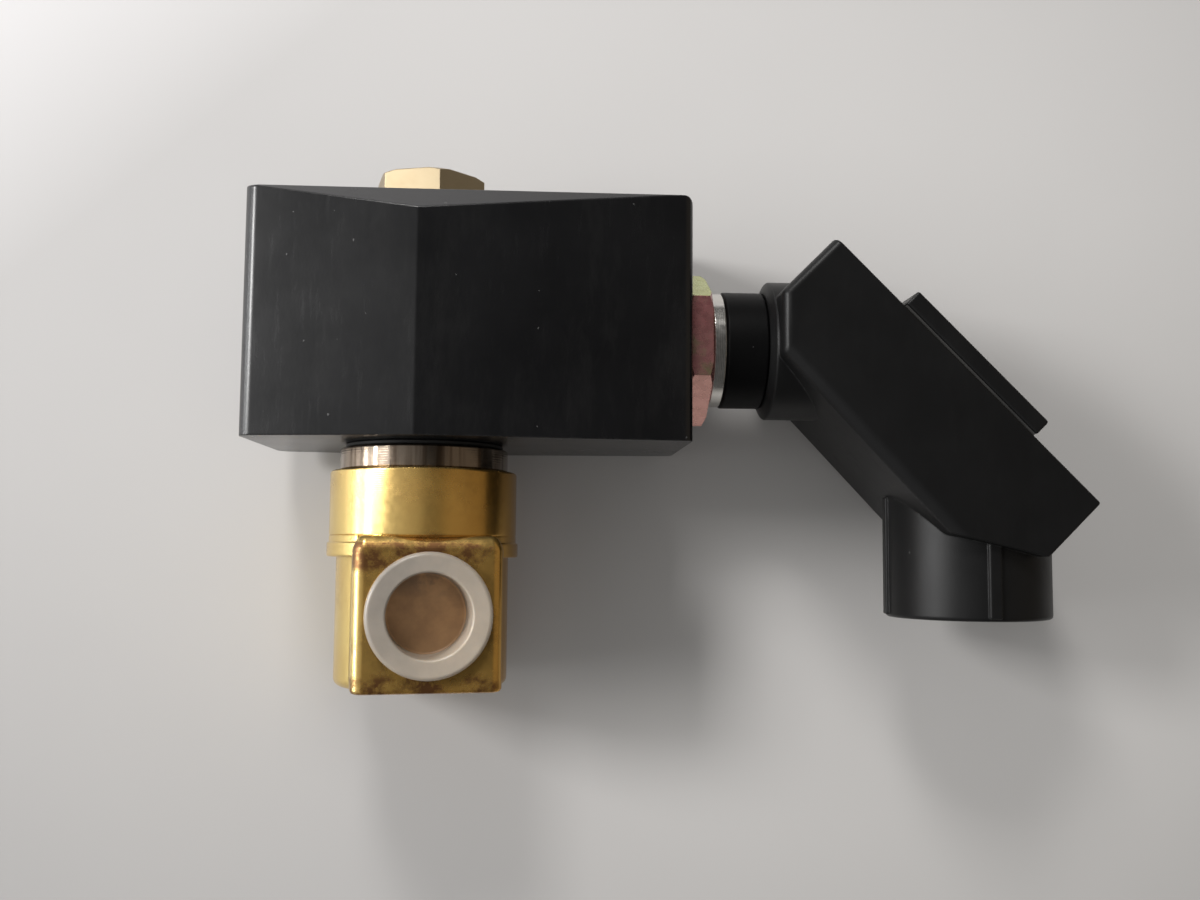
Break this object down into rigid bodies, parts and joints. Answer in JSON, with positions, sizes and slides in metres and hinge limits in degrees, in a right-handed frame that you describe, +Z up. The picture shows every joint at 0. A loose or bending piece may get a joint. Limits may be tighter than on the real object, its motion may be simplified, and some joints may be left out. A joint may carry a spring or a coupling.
{
  "type": "solenoid valve",
  "caption": "Two-way brass solenoid valve with a black moulded coil, a capped pipe port and a swivelling right-angle conduit elbow with a screwed cover.",
  "frame": {"origin": "on the valve axis, at the brass body's underside", "axes": "+Z up along the valve axis from the brass body to the coil nut, +X from the valve axis along the coil towards the conduit elbow, -Y the front"},
  "size_m": [0.1423, 0.0414, 0.0884],
  "materials": {
    "body_brass": "machined, slightly dulled",
    "nut_brass": "machined",
    "nickel_plate": "plated, bright",
    "stainless": "drawn",
    "magnet_steel": "turned",
    "zinc_steel": "zinc plated",
    "yellow_zinc": "zinc plated with a yellow and pink cast",
    "copper": "enamelled wire",
    "coil_plastic": "moulded, satin",
    "elbow_plastic": "moulded, satin",
    "bobbin_plastic": "moulded",
    "cap_plastic": "soft, cloudy",
    "lead_red": "insulated wire",
    "lead_green": "insulated wire",
    "seal_rubber": "matte"
  },
  "bodies": {
    "valve": {"valve_body": "body_brass", "bonnet_nut": "nickel_plate", "guide_tube": "stainless", "body_o_ring": "seal_rubber", "fixed_core": "magnet_steel", "shading_ring": "copper", "plunger_spring": "stainless", "coil_seal": "seal_rubber", "top_washer": "zinc_steel", "coil_nut": "nut_brass"},
    "armature": {"plunger": "magnet_steel", "seal_disc": "seal_rubber"},
    "coil": {"coil_housing": "coil_plastic", "bobbin": "bobbin_plastic", "winding": "copper", "yoke_frame": "zinc_steel", "yoke_plate": "zinc_steel", "coil_leads": "lead_red", "earth_lead": "lead_green", "lead_caps": "bobbin_plastic", "conduit_nipple": "yellow_zinc", "nipple_gasket": "seal_rubber", "nipple_washer": "nickel_plate", "retaining_ring": "stainless"},
    "elbow": {"elbow_housing": "elbow_plastic", "swivel_sleeve": "elbow_plastic", "sleeve_o_ring": "seal_rubber"},
    "cover": {"elbow_cover": "elbow_plastic", "cover_gasket": "seal_rubber", "cover_screws": "zinc_steel"},
    "cap": {"inlet_cap": "cap_plastic"}
  },
  "joints": [
    {"name": "plunger_lift", "type": "slide", "parent": "valve", "child": "armature", "axis": [0, 0, 1], "range_m": [0, 0.00245], "stiffness_N_per_m": 120, "springref_m": -0.004, "deforming": ["plunger_spring"]},
    {"name": "coil_turn", "type": "hinge", "parent": "valve", "child": "coil", "pos_m": [0, 0, 0.06], "axis": [0, 0, 1], "continuous": true},
    {"name": "elbow_swivel", "type": "hinge", "parent": "coil", "child": "elbow", "pos_m": [0.0598, 0, 0.059], "axis": [1, 0, 0], "continuous": true},
    {"name": "cover_off", "type": "slide", "parent": "elbow", "child": "cover", "axis": [0.7071, 0, 0.7071], "range_m": [0, 0.02]},
    {"name": "cap_pull", "type": "slide", "parent": "valve", "child": "cap", "axis": [0.165, -0.9863, 0], "range_m": [0, 0.012]}
  ]
}
